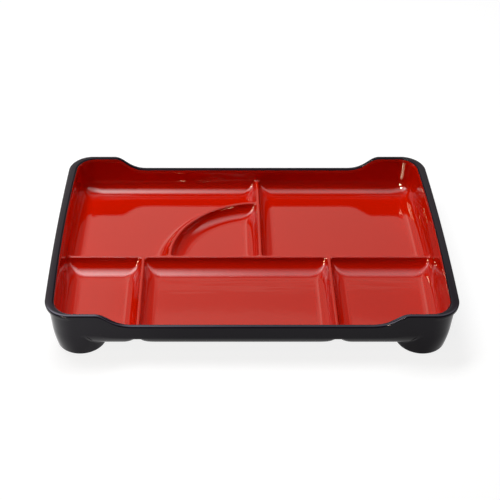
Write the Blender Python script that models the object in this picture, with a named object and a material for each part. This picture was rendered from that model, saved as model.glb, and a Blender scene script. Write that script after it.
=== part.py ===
"""Serving bento box with a lift-out divided tray.

A black moulded case stands on four round feet. A vermilion tray with six wells nests inside it and lifts
straight out. Metres, +Z up, the front of the box at -Y. The origin is under the middle, on the surface
that the feet stand on.
"""

import math

import bmesh
import bpy
import numpy as np

# Case
CASE_WIDTH = 0.360
CASE_DEPTH = 0.242
CASE_HEIGHT = 0.047
CASE_CORNER_RADIUS = 0.0225
SIDE_BOW = 0.0021
WALL_DRAFT = 0.071
SIDE_RIM_WIDTH = 0.0061
END_RIM_WIDTH = 0.0033
RIM_EDGE_RADIUS = 0.0008
LIP_REACH = 0.0025
LIP_HEIGHT = 0.0032
LIP_SLOPE_HEIGHT = 0.0008
CASE_WALL = 0.0014
SKIRT_DEPTH = 0.0302
SKIRT_EDGE_RADIUS = 0.0040
UNDER_COVE_RADIUS = 0.0150
RIB_RELIEF = 0.0020

# The wave in the front and back rims
RIM_DROP = 0.0130
WAVE_INSET = 0.0580
WAVE_TOP_REACH = 0.0135
WAVE_FOOT_REACH = 0.0200
WAVE_TOP_HANDLE = 0.0113
WAVE_FOOT_HANDLE = 0.0199

# Feet
FOOT_RADIUS = 0.0228
FOOT_WALL = 0.0050
FOOT_EDGE_RADIUS = 0.0025
FOOT_DRAFT = 0.030
FOOT_SIDE_INSET = 0.0308
FOOT_END_INSET = 0.0256
FOOT_OVERLAP = 0.0032

# Tray
TRAY_GAP = 0.0003
TRAY_WALL = 0.0014
TRAY_STEP = 0.0006
TRAY_EDGE_RADIUS = 0.0004
TRAY_CORNER_RADIUS = 0.0210
TRAY_SIDE_BOW = 0.0039
FLOOR_DEPTH = 0.0368
WELL_COVE_RADIUS = 0.0135
WELL_CORNER_RADIUS = 0.0030
WELL_FLOOR_CORNER_RADIUS = 0.0070
OUTER_FLOOR_CORNER_RADIUS = 0.0120

# Dividers of the tray
RIDGE_DEPTH = 0.0250
RIDGE_WIDTH = 0.0028
RIDGE_EDGE_RADIUS = 0.0011
RIDGE_END_RADIUS = 0.0050
LONG_RIDGE_Y = -0.0092
REAR_RIDGE_X = 0.0105
FRONT_LEFT_WIDTH = 0.0728
FRONT_RIGHT_WIDTH = 0.0975
QUARTER_PASSAGE = 0.0397

# The bow fades out towards the middle of the box, so the dividers stay straight
BOW_START_SHARE = 0.62
# Where a well's side passes the shoulder above the dividers, as shares of the shoulder's radius
WELL_TOP_SHARE = 0.86
WELL_CLOSE_SHARE = 0.96
WELL_CLOSE_INSET_SHARE = 0.10
# The most of a well's shortest neighbouring side that a corner's fillet takes
FILLET_LIMIT_SHARE = 0.42

# How far a cutter runs past what it cuts
OVERRUN = 0.0030
# Points of a turned foot closer than this are one point
WELD_DISTANCE = 0.00003

# Facets
CORNER_STEPS = 5
SIDE_STEPS = 3
WAVE_STEPS = 7
COVE_STEPS = 6
SHOULDER_STEPS = 3
EDGE_STEPS = 2
FILLET_STEPS = 4
ARC_STEPS = 12
FOOT_STEPS = 28
WAVE_TABLE_STEPS = 200
SHARP_ANGLE = math.radians(35)

# Finishes, as linear colours and roughness
BLACK = (0.012, 0.011, 0.013)
BLACK_ROUGHNESS = 0.12
VERMILION = (0.46, 0.022, 0.008)
VERMILION_ROUGHNESS = 0.08

# Worked out from the sizes above
STACK = TRAY_WALL + TRAY_GAP + CASE_WALL
CASE_INSIDE = TRAY_WALL + TRAY_GAP
FLOOR_Z = CASE_HEIGHT - FLOOR_DEPTH
RIDGE_Z = CASE_HEIGHT - RIDGE_DEPTH
SKIRT_Z = CASE_HEIGHT - SKIRT_DEPTH
FOOT_TOP = SKIRT_Z + FOOT_OVERLAP
TRAY_HALF_WIDTH = CASE_WIDTH / 2 - SIDE_RIM_WIDTH - CASE_INSIDE
TRAY_HALF_DEPTH = CASE_DEPTH / 2 - END_RIM_WIDTH - CASE_INSIDE
WAVE_MIDDLE = CASE_WIDTH / 2 - WAVE_INSET
LEFT_RIDGE_X = FRONT_LEFT_WIDTH - TRAY_HALF_WIDTH
RIGHT_RIDGE_X = TRAY_HALF_WIDTH - FRONT_RIGHT_WIDTH
QUARTER_RADIUS = TRAY_HALF_DEPTH - LONG_RIDGE_Y - QUARTER_PASSAGE


def clear_scene():
    """Remove every object of the open scene."""
    for thing in list(bpy.data.objects):
        bpy.data.objects.remove(thing, do_unlink=True)


def new_collection(name):
    """Make a collection in the scene."""
    collection = bpy.data.collections.new(name)
    bpy.context.scene.collection.children.link(collection)
    return collection


def moulded_plastic(name, colour, roughness):
    """Make a glossy plastic of one colour."""
    material = bpy.data.materials.new(name)
    material.use_nodes = True
    shader = material.node_tree.nodes["Principled BSDF"]
    shader.inputs["Base Color"].default_value = (*colour, 1)
    shader.inputs["Roughness"].default_value = roughness
    shader.inputs["Metallic"].default_value = 0
    return material


# The rim's height

def wave_curve(steps):
    """Return distance from the middle and drop of the wave: a Bezier curve that is level at both ends."""
    t = np.linspace(0, 1, steps + 1)
    start = WAVE_MIDDLE + WAVE_TOP_REACH
    end = WAVE_MIDDLE - WAVE_FOOT_REACH
    handles = (start, start - WAVE_TOP_HANDLE, end + WAVE_FOOT_HANDLE, end)
    weights = ((1 - t) ** 3, 3 * (1 - t) ** 2 * t, 3 * (1 - t) * t ** 2, t ** 3)
    distance = sum(weight * handle for weight, handle in zip(weights, handles))
    drop = RIM_DROP * (weights[2] + weights[3])
    return distance, drop


def rim_height(x):
    """Return the height of the case's rim at x: full at the sides, lower between the two waves."""
    distance, drop = wave_curve(WAVE_TABLE_STEPS)
    return CASE_HEIGHT - np.interp(np.abs(x), distance[::-1], drop[::-1])


def wave_places():
    """Return the x of the points along the front edge, left to right."""
    distance, drop = wave_curve(WAVE_STEPS)
    return np.concatenate([-distance, distance[::-1]])


def bowed(points, bow):
    """Bend the sides inward towards the corners, by the bow at the full depth of the case."""
    bent = points.copy()
    start = BOW_START_SHARE * CASE_WIDTH / 2
    ramp = np.clip((np.abs(bent[:, 0]) - start) / (CASE_WIDTH / 2 - start), 0, None)
    bent[:, 0] -= np.sign(bent[:, 0]) * bow * ramp * (2 * bent[:, 1] / CASE_DEPTH) ** 2
    return bent


# Outlines that go all round the box

def arc_points(centre, radius, start, end, steps):
    """Return points on an arc, both ends included, and the directions from them to its centre."""
    angle = np.linspace(start, end, steps + 1)
    outward = np.stack([np.cos(angle), np.sin(angle)], axis=1)
    return np.array(centre) + radius * outward, -outward


def box_outline(half_width, half_depth, radius):
    """Return a rounded rectangle and its inward directions, from the middle of the left side round by
    the front. It is the same front and back, so a lid of strips closes it."""
    centre_x = half_width - radius
    centre_y = half_depth - radius
    along_side = np.linspace(-centre_y, centre_y, 2 * SIDE_STEPS + 1)[1:-1]
    along_front = wave_places()
    quarter = math.pi / 2
    pieces = []

    def straight(x, y, inward):
        x, y = np.broadcast_arrays(x, y)
        pieces.append((np.stack([x, y], axis=1), np.tile(inward, (len(x), 1))))

    def corner(side, end, start):
        centre = (side * centre_x, end * centre_y)
        pieces.append(arc_points(centre, radius, start, start + quarter, CORNER_STEPS))

    straight(-half_width, -along_side[SIDE_STEPS - 1:], (1, 0))
    corner(-1, -1, 2 * quarter)
    straight(along_front, -half_depth, (0, 1))
    corner(1, -1, 3 * quarter)
    straight(half_width, along_side, (-1, 0))
    corner(1, 1, 0)
    straight(along_front[::-1], half_depth, (0, -1))
    corner(-1, 1, quarter)
    straight(-half_width, along_side[:SIDE_STEPS - 1:-1], (1, 0))
    points = np.concatenate([piece[0] for piece in pieces])
    inward = np.concatenate([piece[1] for piece in pieces])
    return points, inward


def box_ring(outline, inset, height, bow):
    """Return one section of a loft round the box. The height may follow the rim, and the wall's draft
    draws the section in below the raised rim."""
    points, inward = outline
    level = np.broadcast_to(height(points[:, 0]) if callable(height) else height, len(points))
    draft = WALL_DRAFT * (CASE_HEIGHT - level)
    drawn = points + inward * (inset + draft)[:, None]
    return np.column_stack([bowed(drawn, bow), level])


def shoulder(radius, floor, steps):
    """Return inset and height up a quarter round that starts level at the floor."""
    angle = np.linspace(0, math.pi / 2, steps + 1)
    return radius * (1 - np.sin(angle)), floor + radius * (1 - np.cos(angle))


# Outlines of the wells: edges are lines or one arc, each with its own inset

def line_edge(point, inward, wall):
    """An edge on a straight line: wall is true for an outer wall, and false for a divider's side."""
    return {"point": np.array(point, float), "inward": np.array(inward, float), "wall": wall, "steps": 1}


def arc_edge(centre, radius, side):
    """An edge on a circle: side is 1 where the well lies inside it, and -1 where it lies outside."""
    return {"centre": np.array(centre, float), "radius": radius, "side": side, "wall": False,
            "steps": ARC_STEPS}


def moved(edge, inset):
    """Return the edge moved into the well."""
    copy = dict(edge)
    if "point" in edge:
        copy["point"] = edge["point"] + edge["inward"] * inset
    else:
        copy["radius"] = edge["radius"] - edge["side"] * inset
    return copy


def meeting(first, second, near):
    """Return where two edges cross, the crossing nearest to a point."""
    if "point" in first and "point" in second:
        matrix = np.array([first["inward"], second["inward"]])
        reach = [first["inward"] @ first["point"], second["inward"] @ second["point"]]
        return np.linalg.solve(matrix, reach)
    line, arc = (first, second) if "point" in first else (second, first)
    distance = (line["point"] - arc["centre"]) @ line["inward"]
    foot = arc["centre"] + line["inward"] * distance
    half_chord = math.sqrt(max(arc["radius"] ** 2 - distance ** 2, 0))
    along = np.array([-line["inward"][1], line["inward"][0]])
    crossings = [foot + along * half_chord, foot - along * half_chord]
    return min(crossings, key=lambda point: np.linalg.norm(point - near))


def nearest(edge, point):
    """Return the point of an edge that is nearest to another point."""
    if "point" in edge:
        return point - edge["inward"] * ((point - edge["point"]) @ edge["inward"])
    away = point - edge["centre"]
    return edge["centre"] + away * edge["radius"] / np.linalg.norm(away)


def turn(centre, start, end, steps):
    """Return points round a centre from start to end, the short way, both included."""
    first, last = start - centre, end - centre
    begin = math.atan2(first[1], first[0])
    sweep = math.remainder(math.atan2(last[1], last[0]) - begin, 2 * math.pi)
    angle = begin + sweep * np.linspace(0, 1, steps + 1)
    radius = np.linalg.norm(first)
    return centre + radius * np.stack([np.cos(angle), np.sin(angle)], axis=1)


def well_outline(edges, insets, radii):
    """Return one section of a well. Corner number k lies between edge k - 1 and edge k."""
    sharp = []
    for number, edge in enumerate(edges):
        near = meeting(edges[number - 1], edge, edge["hint"])
        sharp.append(meeting(moved(edges[number - 1], insets[number - 1]), moved(edge, insets[number]), near))
    corners = []
    for number, edge in enumerate(edges):
        before = edges[number - 1]
        sides = (sharp[number - 1], sharp[(number + 1) % len(edges)])
        room = min(np.linalg.norm(sharp[number] - side) for side in sides)
        radius = min(radii[number], FILLET_LIMIT_SHARE * room)
        centre = meeting(moved(before, insets[number - 1] + radius), moved(edge, insets[number] + radius),
                         sharp[number])
        start = nearest(moved(before, insets[number - 1]), centre)
        end = nearest(moved(edge, insets[number]), centre)
        steps = CORNER_STEPS if edge["wall"] and before["wall"] else FILLET_STEPS
        corners.append(turn(centre, start, end, steps))
    loop = []
    for number, edge in enumerate(edges):
        loop.append(corners[number])
        start, end = corners[number][-1], corners[(number + 1) % len(edges)][0]
        if "centre" in edge:
            loop.append(turn(edge["centre"], start, end, edge["steps"])[1:-1])
        elif edge["steps"] > 1:
            share = np.linspace(0, 1, edge["steps"] + 1)[1:-1, None]
            loop.append(start + (end - start) * share)
    return np.concatenate(loop)


def cove_inset(radius, rise):
    """Return how far a cove stands in from its wall at a rise above the floor."""
    if rise >= radius:
        return 0
    return radius - math.sqrt(max(radius ** 2 - (radius - rise) ** 2, 0))


def wall_lines(half_width, half_depth):
    """Return the four straight walls round the wells."""
    walls = {"left": line_edge((-half_width, 0), (1, 0), True),
             "right": line_edge((half_width, 0), (-1, 0), True),
             "front": line_edge((0, -half_depth), (0, 1), True),
             "back": line_edge((0, half_depth), (0, -1), True)}
    walls["left"]["steps"] = SIDE_STEPS
    walls["right"]["steps"] = SIDE_STEPS
    return walls


def wells(half_width, half_depth, ridge_half):
    """Return the edges of the six wells, each counter-clockwise."""
    walls = wall_lines(half_width, half_depth)
    hub = (REAR_RIDGE_X, LONG_RIDGE_Y)

    def beside(x, side):
        return line_edge((x + side * ridge_half, 0), (side, 0), False)

    def along(side):
        return line_edge((0, LONG_RIDGE_Y + side * ridge_half), (0, side), False)

    shapes = {
        "front_left": [walls["front"], beside(LEFT_RIDGE_X, -1), along(-1), walls["left"]],
        "front_middle": [walls["front"], beside(RIGHT_RIDGE_X, -1), along(-1), beside(LEFT_RIDGE_X, 1)],
        "front_right": [walls["front"], walls["right"], along(-1), beside(RIGHT_RIDGE_X, 1)],
        "rear_right": [along(1), walls["right"], walls["back"], beside(REAR_RIDGE_X, 1)],
        "quarter_round": [along(1), beside(REAR_RIDGE_X, -1), arc_edge(hub, QUARTER_RADIUS - ridge_half, 1)],
        "rear_left": [along(1), arc_edge(hub, QUARTER_RADIUS + ridge_half, -1), beside(REAR_RIDGE_X, -1),
                      walls["back"], walls["left"]],
    }
    left_of_hub = np.array([REAR_RIDGE_X - QUARTER_RADIUS, LONG_RIDGE_Y])
    behind_hub = np.array([REAR_RIDGE_X, LONG_RIDGE_Y + QUARTER_RADIUS])
    hints = {"quarter_round": {2: behind_hub, 0: left_of_hub}, "rear_left": {1: left_of_hub, 2: behind_hub}}
    for name, edges in shapes.items():
        shapes[name] = [dict(edge) for edge in edges]
        for number, edge in enumerate(shapes[name]):
            edge["hint"] = hints.get(name, {}).get(number, np.zeros(2))
    return shapes


# Lofts

def mesh_object(name, points, faces, collection):
    """Make an object from points and faces, with faces that point out."""
    mesh = bpy.data.meshes.new(name)
    mesh.from_pydata([tuple(point) for point in points], [], faces)
    mesh.update()
    mesh.shade_smooth()
    mesh.set_sharp_from_angle(angle=SHARP_ANGLE)
    thing = bpy.data.objects.new(name, mesh)
    collection.objects.link(thing)
    return thing


def strips(count, first):
    """Return faces that close a ring that is the same front and back."""
    half = count // 2
    faces = [(first, first + 1, first + count - 1)]
    for step in range(1, half - 1):
        faces.append((first + step, first + step + 1, first + count - step - 1, first + count - step))
    faces.append((first + half - 1, first + half, first + half + 1))
    return faces


def loft(name, rings, collection, stripped):
    """Join equal rings, bottom first, and close both ends."""
    count = len(rings[0])
    faces = []
    for level in range(len(rings) - 1):
        for step in range(count):
            after = (step + 1) % count
            low, high = level * count, (level + 1) * count
            faces.append((low + step, low + after, high + after, high + step))
    top = (len(rings) - 1) * count
    if stripped:
        faces += [face[::-1] for face in strips(count, 0)]
        faces += strips(count, top)
    else:
        faces.append(tuple(range(count))[::-1])
        faces.append(tuple(range(top, top + count)))
    return mesh_object(name, np.concatenate(rings), faces, collection)


def basin(name, outset, floor, shoulder_radius, top_levels, collection):
    """Loft the open space above the dividers, or a shell's outside there, grown by outset.

    Each top level is an extra inset and a height, which may follow the rim."""
    outline = box_outline(TRAY_HALF_WIDTH, TRAY_HALF_DEPTH, TRAY_CORNER_RADIUS)
    rings = []
    for inset, height in zip(*shoulder(shoulder_radius, floor, SHOULDER_STEPS)):
        rings.append(box_ring(outline, inset - outset, height, TRAY_SIDE_BOW))
    for inset, height in top_levels:
        rings.append(box_ring(outline, inset - outset, height, TRAY_SIDE_BOW))
    return loft(name, rings, collection, True)


def well_levels(cove, rise_to_ridge, shoulder_radius, ridge_edge):
    """Return rise above the floor, extra inset of a wall and of a divider's side, floor first. The last
    two levels close the well inside the space above the dividers."""
    top = rise_to_ridge + shoulder_radius * WELL_TOP_SHARE
    last_cove = rise_to_ridge - 2 * ridge_edge if ridge_edge else top
    levels = []
    for angle in np.linspace(0, math.pi / 2, COVE_STEPS + 1):
        rise = cove * (1 - math.cos(angle))
        if rise < last_cove:
            levels.append((rise, 0, 0))
    if ridge_edge:
        for angle in np.linspace(0, math.pi / 2, SHOULDER_STEPS + 1):
            rise = rise_to_ridge + ridge_edge * (math.sin(angle) - 1)
            levels.append((rise, 0, -ridge_edge * (1 - math.cos(angle))))
    closing = WELL_CLOSE_INSET_SHARE * shoulder_radius
    levels.append((top, 0, -ridge_edge))
    levels.append((rise_to_ridge + shoulder_radius * WELL_CLOSE_SHARE, closing, closing - ridge_edge))
    return levels


def well_solids(prefix, outset, walls, floor, coves, shoulder_floor, shoulder_radius, ridge_edge, group):
    """Loft each well from its floor to just above the dividers, grown by outset. walls holds the half
    width, half depth, corner radius and bow of the side walls."""
    half_width, half_depth, corner_radius, bow = walls
    wall_cove, ridge_cove = coves
    solids = []
    ridge_half = RIDGE_WIDTH / 2 - outset
    for name, edges in wells(half_width, half_depth, ridge_half).items():
        rings = []
        levels = well_levels(ridge_cove, shoulder_floor - floor, shoulder_radius, ridge_edge)
        for rise, wall_extra, ridge_extra in levels:
            height = floor + rise
            draft = WALL_DRAFT * (CASE_HEIGHT - height)
            insets = []
            for edge in edges:
                if edge["wall"]:
                    insets.append(cove_inset(wall_cove, rise) + draft + wall_extra)
                else:
                    insets.append(cove_inset(ridge_cove, rise) + ridge_extra)
            depth_share = min(cove_inset(ridge_cove, rise) / ridge_cove, 1)
            radii = []
            for number, edge in enumerate(edges):
                if edge["wall"] and edges[number - 1]["wall"]:
                    top, bottom = corner_radius - draft, OUTER_FLOOR_CORNER_RADIUS
                else:
                    top, bottom = WELL_CORNER_RADIUS + outset, WELL_FLOOR_CORNER_RADIUS
                radii.append(top + (bottom - top) * depth_share)
            loop = well_outline(edges, insets, radii)
            rings.append(np.column_stack([bowed(loop, bow), np.full(len(loop), height)]))
        solids.append(loft(prefix + name, rings, group, False))
    return solids


# Joining and cutting

def combine(target, tools, operation):
    """Add one exact Boolean for each tool."""
    for tool in tools:
        modifier = target.modifiers.new(operation.lower() + " " + tool.name, "BOOLEAN")
        modifier.operation = operation
        modifier.object = tool
        modifier.solver = "EXACT"
        tool.hide_render = True
        tool.display_type = "WIRE"


def tray_walls(outset):
    """Return the side walls of the tray's wells, grown by outset."""
    return (TRAY_HALF_WIDTH + outset, TRAY_HALF_DEPTH + outset, TRAY_CORNER_RADIUS + outset, TRAY_SIDE_BOW)


def tray_wells(prefix, outset, shoulder_floor, ridge_edge, cutters):
    """Loft the wells at one of the nested surfaces: the tray's inside, its outside or the case's inside."""
    cove = WELL_COVE_RADIUS + outset
    return well_solids(prefix, outset, tray_walls(outset), FLOOR_Z - outset, (cove, cove), shoulder_floor,
                       RIDGE_END_RADIUS + outset, ridge_edge, cutters)


def tray_top(x):
    """Return the height of the tray's edge: a small step below the rim of the case."""
    return rim_height(x) - TRAY_STEP


def above(height, rise):
    """Return a height rule that lies a fixed rise over another."""
    return lambda x: height(x) + rise


def quarter_levels(radius, height, side, steps):
    """Return insets and height rules that round an edge over. A side of 1 draws a solid's edge in, and
    -1 flares a cutter's edge out."""
    angles = np.linspace(0, math.pi / 2, steps + 1)
    return [(side * radius * (1 - math.cos(angle)), above(height, radius * (math.sin(angle) - 1)))
            for angle in angles]


def make_tray(parts, cutters, material):
    """Make the vermilion tray: the nested outside less the nested inside."""
    tray = basin("divided_tray", TRAY_WALL, RIDGE_Z - TRAY_WALL, RIDGE_END_RADIUS + TRAY_WALL,
                 quarter_levels(TRAY_EDGE_RADIUS, tray_top, 1, EDGE_STEPS), parts)
    outside = tray_wells("tray_outside_", TRAY_WALL, RIDGE_Z - TRAY_WALL, 0, cutters)
    flare = quarter_levels(TRAY_EDGE_RADIUS, tray_top, -1, EDGE_STEPS)
    flare.append((-TRAY_EDGE_RADIUS, above(tray_top, OVERRUN)))
    space = basin("tray_space", 0, RIDGE_Z, RIDGE_END_RADIUS, flare, cutters)
    inside = tray_wells("well_", 0, RIDGE_Z, RIDGE_EDGE_RADIUS, cutters)
    combine(tray, outside, "UNION")
    combine(tray, [space] + inside, "DIFFERENCE")
    tray.data.materials.append(material)
    return tray


def case_body(collection):
    """Loft the case's outer wall, with the lip that stands out along the sides and fades at the ends."""
    wall = box_outline(CASE_WIDTH / 2 - LIP_REACH, CASE_DEPTH / 2, CASE_CORNER_RADIUS)
    lip = box_outline(CASE_WIDTH / 2, CASE_DEPTH / 2, CASE_CORNER_RADIUS)
    rings = []
    for inset, height in zip(*shoulder(SKIRT_EDGE_RADIUS, SKIRT_Z, SHOULDER_STEPS)):
        rings.append(box_ring(wall, inset, height, SIDE_BOW))
    lip_bottom = above(rim_height, -LIP_HEIGHT)
    rings.append(box_ring(wall, 0, above(lip_bottom, -LIP_SLOPE_HEIGHT), SIDE_BOW))
    rings.append(box_ring(lip, 0, lip_bottom, SIDE_BOW))
    for inset, height in quarter_levels(RIM_EDGE_RADIUS, rim_height, 1, EDGE_STEPS):
        rings.append(box_ring(lip, inset, height, SIDE_BOW))
    return loft("outer_case", rings, collection, True)


def feet(collection):
    """Turn four round feet, hollow from below, under the corners."""
    inner = FOOT_RADIUS - FOOT_WALL
    wide = FOOT_DRAFT * FOOT_TOP
    profile = [(FOOT_RADIUS + wide, FOOT_TOP)]
    for angle in np.linspace(0, math.pi / 2, SHOULDER_STEPS + 1):
        profile.append((FOOT_RADIUS - FOOT_EDGE_RADIUS * (1 - math.cos(angle)),
                        FOOT_EDGE_RADIUS * (1 - math.sin(angle))))
    profile.append((inner, 0))
    profile.append((inner - wide, FOOT_TOP))
    made = []
    for side in (-1, 1):
        for end in (-1, 1):
            place = (side * (CASE_WIDTH / 2 - FOOT_SIDE_INSET), end * (CASE_DEPTH / 2 - FOOT_END_INSET), 0)
            name = "foot_" + ("front" if end < 0 else "rear") + ("_left" if side < 0 else "_right")
            mesh = bpy.data.meshes.new(name)
            sketch = bmesh.new()
            corners = [sketch.verts.new((radius, 0, height)) for radius, height in profile]
            for number, corner in enumerate(corners):
                sketch.edges.new((corner, corners[(number + 1) % len(corners)]))
            bmesh.ops.spin(sketch, geom=list(sketch.verts) + list(sketch.edges), axis=(0, 0, 1),
                           cent=(0, 0, 0), angle=2 * math.pi, steps=FOOT_STEPS, use_merge=True)
            bmesh.ops.remove_doubles(sketch, verts=sketch.verts, dist=WELD_DISTANCE)
            bmesh.ops.recalc_face_normals(sketch, faces=sketch.faces)
            sketch.to_mesh(mesh)
            sketch.free()
            foot = bpy.data.objects.new(name, mesh)
            foot.location = place
            collection.objects.link(foot)
            made.append(foot)
    return made


def make_case(parts, cutters, material):
    """Make the black case: body, bowls and feet, less the space that the tray nests in."""
    case = case_body(parts)
    outer_walls = (CASE_WIDTH / 2 - LIP_REACH, CASE_DEPTH / 2, CASE_CORNER_RADIUS, SIDE_BOW)
    bowls = well_solids("bowl_", STACK, outer_walls, FLOOR_Z - STACK,
                        (UNDER_COVE_RADIUS, WELL_COVE_RADIUS + STACK), SKIRT_Z, SKIRT_EDGE_RADIUS, 0, cutters)
    rib_top = RIDGE_Z - CASE_INSIDE - RIB_RELIEF
    flare = quarter_levels(RIM_EDGE_RADIUS, rim_height, -1, EDGE_STEPS)
    flare.append((-RIM_EDGE_RADIUS, above(rim_height, OVERRUN)))
    space = basin("case_space", CASE_INSIDE, rib_top, RIDGE_END_RADIUS + CASE_INSIDE, flare, cutters)
    inside = tray_wells("seat_", CASE_INSIDE, rib_top, 0, cutters)
    combine(case, bowls + feet(cutters), "UNION")
    combine(case, [space] + inside, "DIFFERENCE")
    case.data.materials.append(material)
    return case


def main():
    """Build the case and the tray."""
    clear_scene()
    parts = new_collection("bento_box")
    cutters = new_collection("cutters")
    black = moulded_plastic("black_abs", BLACK, BLACK_ROUGHNESS)
    vermilion = moulded_plastic("vermilion_abs", VERMILION, VERMILION_ROUGHNESS)
    make_case(parts, cutters, black)
    make_tray(parts, cutters, vermilion)


main()
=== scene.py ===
# %% [markdown]
# A serving bento box, dressed for its portrait.
#
# The real box is two thin mouldings in ABS with a urethane lacquer look: a black case on four round feet,
# and a vermilion tray that nests in it. Almost everything that the eye takes for the object is gloss on
# soft corners, so this lesson is about smooth surfaces first and about finishes second.
#
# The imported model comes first. It fixes where everything is, and every new piece keeps to its sizes.

# %% Load the fixed frame
import math
from types import SimpleNamespace

import bmesh
import bpy
import numpy as np
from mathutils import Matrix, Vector


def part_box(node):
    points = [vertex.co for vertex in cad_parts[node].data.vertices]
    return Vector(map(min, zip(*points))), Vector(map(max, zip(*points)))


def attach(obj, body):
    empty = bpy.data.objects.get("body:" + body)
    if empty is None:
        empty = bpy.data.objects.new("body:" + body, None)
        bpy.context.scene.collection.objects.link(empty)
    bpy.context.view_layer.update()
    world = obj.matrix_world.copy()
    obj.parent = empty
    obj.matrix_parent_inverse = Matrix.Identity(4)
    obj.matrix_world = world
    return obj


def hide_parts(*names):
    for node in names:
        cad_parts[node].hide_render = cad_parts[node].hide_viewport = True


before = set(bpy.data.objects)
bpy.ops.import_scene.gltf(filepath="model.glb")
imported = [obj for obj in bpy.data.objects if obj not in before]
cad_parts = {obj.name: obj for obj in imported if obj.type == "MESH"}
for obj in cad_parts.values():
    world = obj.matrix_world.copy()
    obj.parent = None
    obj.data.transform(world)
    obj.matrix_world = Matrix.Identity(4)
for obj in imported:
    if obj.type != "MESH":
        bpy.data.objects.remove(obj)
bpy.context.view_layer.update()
case_low, case_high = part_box("outer_case")
tray_low, tray_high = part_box("divided_tray")
print("case", [round(high - low, 4) for low, high in zip(case_low, case_high)])

# %% [markdown]
# The sizes below are in metres. The outer size and the height come from the frame. The rest are what a
# pattern maker would write on the drawing: wall thickness, draft, coves and fillets.

# %% Sizes of the moulding
MM = 0.001
TOUCH = MM / 1000

# The outline, whose sides bow in towards the corners, and the black rim with its lip.
RIM_Z = case_high[2]
WALL_DRAFT = 0.071
RIM_EDGE = 0.8 * MM
HALF_WIDTH = case_high[0] + WALL_DRAFT * RIM_EDGE
HALF_DEPTH = case_high[1] + WALL_DRAFT * RIM_EDGE
CORNER_RADIUS = 22.5 * MM
SIDE_RIM = 6.1 * MM
END_RIM = 3.3 * MM
SIDE_BOW = 2.1 * MM
TRAY_SIDE_BOW = 3.9 * MM
BOW_START_SHARE = 0.62
LIP_REACH = 2.5 * MM
LIP_HEIGHT = 3.2 * MM
LIP_SLOPE = 0.8 * MM
SIDE_ROUND = 0.9 * MM
END_ROUND = 2.7 * MM
REAR_ROUND = 0.35 * MM
END_INNER_ROUND = 0.3 * MM

# The nested walls, and the tray's top edge, which leans back from the case.
TRAY_WALL = 1.4 * MM
NEST_GAP = 0.3 * MM
CASE_WALL = 1.4 * MM
NEST = TRAY_WALL + NEST_GAP
STACK = NEST + CASE_WALL
TRAY_STEP = RIM_Z - tray_high[2]
TRAY_EDGE = 0.12 * MM
TRAY_LEAN = 4.2 * MM
TRAY_LEAN_REACH = 1.2 * MM
TRAY_RED_RINGS = 8
TRAY_CORNER_RADIUS = 16.5 * MM
TRAY_HALF_WIDTH = HALF_WIDTH - SIDE_RIM - NEST
TRAY_HALF_DEPTH = HALF_DEPTH - END_RIM - NEST

# The section of a well: floor, coves, fillets and the divider's top.
FLOOR_Z = tray_low[2] + TRAY_WALL
COVE_RADIUS = 13.5 * MM
FRONT_COVE_REACH = 19.0 * MM
FILLET_TOP = 3.0 * MM
FILLET_FLOOR = 7.0 * MM
CORNER_FLOOR_RADIUS = 12.0 * MM
RIDGE_Z = RIM_Z - 25.0 * MM
RIDGE_WIDTH = 2.8 * MM
RIDGE_ROUND = 1.3 * MM
SHOULDER = 3.2 * MM

# The underside, which is rounder than the inside and has channels under the dividers.
SKIRT_Z = RIM_Z - 30.2 * MM
SKIRT_ROUND = 4.0 * MM
UNDER_COVE_RADIUS = 15.0 * MM
UNDER_FILLET = 19.0 * MM
UNDER_ROUND = 0.3 * MM
CHANNEL_ROUND = 0.5 * MM
RIB_RELIEF = 2.0 * MM

# The dividers in plan. The quarter-round well turns about the hub, where two dividers meet.
LONG_RIDGE_Y = -9.2 * MM
REAR_RIDGE_X = 10.5 * MM
LEFT_RIDGE_X = 72.8 * MM - TRAY_HALF_WIDTH
RIGHT_RIDGE_X = TRAY_HALF_WIDTH - 97.5 * MM
QUARTER_RADIUS = TRAY_HALF_DEPTH - LONG_RIDGE_Y - 39.7 * MM
HUB = np.array([REAR_RIDGE_X, LONG_RIDGE_Y])

# %% [markdown]
# The front and back rims dip between two S-shaped waves. A cubic curve with level handles draws such a
# wave: its place is start, start - handle, end + handle and end, weighted in turn, and its drop is the sum
# of the last two weights. A table of the curve then answers "how high is the rim at x".

# %% The rim's wave
RIM_DROP = 13.0 * MM
WAVE_MIDDLE = HALF_WIDTH - 58.0 * MM
WAVE_TOP_REACH = 13.5 * MM
WAVE_FOOT_REACH = 20.0 * MM
WAVE_TOP_HANDLE = 11.3 * MM
WAVE_FOOT_HANDLE = 19.9 * MM
WAVE_TABLE_STEPS = 2000


def wave_curve(steps):
    """Distance from the middle and drop below the raised rim, along the curve of one wave."""
    t = np.linspace(0, 1, steps + 1)
    start = WAVE_MIDDLE + WAVE_TOP_REACH
    end = WAVE_MIDDLE - WAVE_FOOT_REACH
    weights = np.stack([(1 - t) ** 3, 3 * (1 - t) ** 2 * t, 3 * (1 - t) * t ** 2, t ** 3])
    places = np.array([start, start - WAVE_TOP_HANDLE, end + WAVE_FOOT_HANDLE, end])
    return places @ weights, RIM_DROP * (weights[2] + weights[3])


WAVE_DISTANCE, WAVE_DROP = wave_curve(WAVE_TABLE_STEPS)


def rim_drop(x):
    """Drop of the rim below its raised height at x."""
    return np.interp(np.abs(x), WAVE_DISTANCE[::-1], WAVE_DROP[::-1])


def bowed(x, y, bow):
    """Draw the sides in towards the corners: x loses bow times share times (y / half depth) squared."""
    start = BOW_START_SHARE * HALF_WIDTH
    share = np.clip((np.abs(x) - start) / (HALF_WIDTH - start), 0, None)
    return x - np.sign(x) * bow * share * (y / HALF_DEPTH) ** 2


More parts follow.
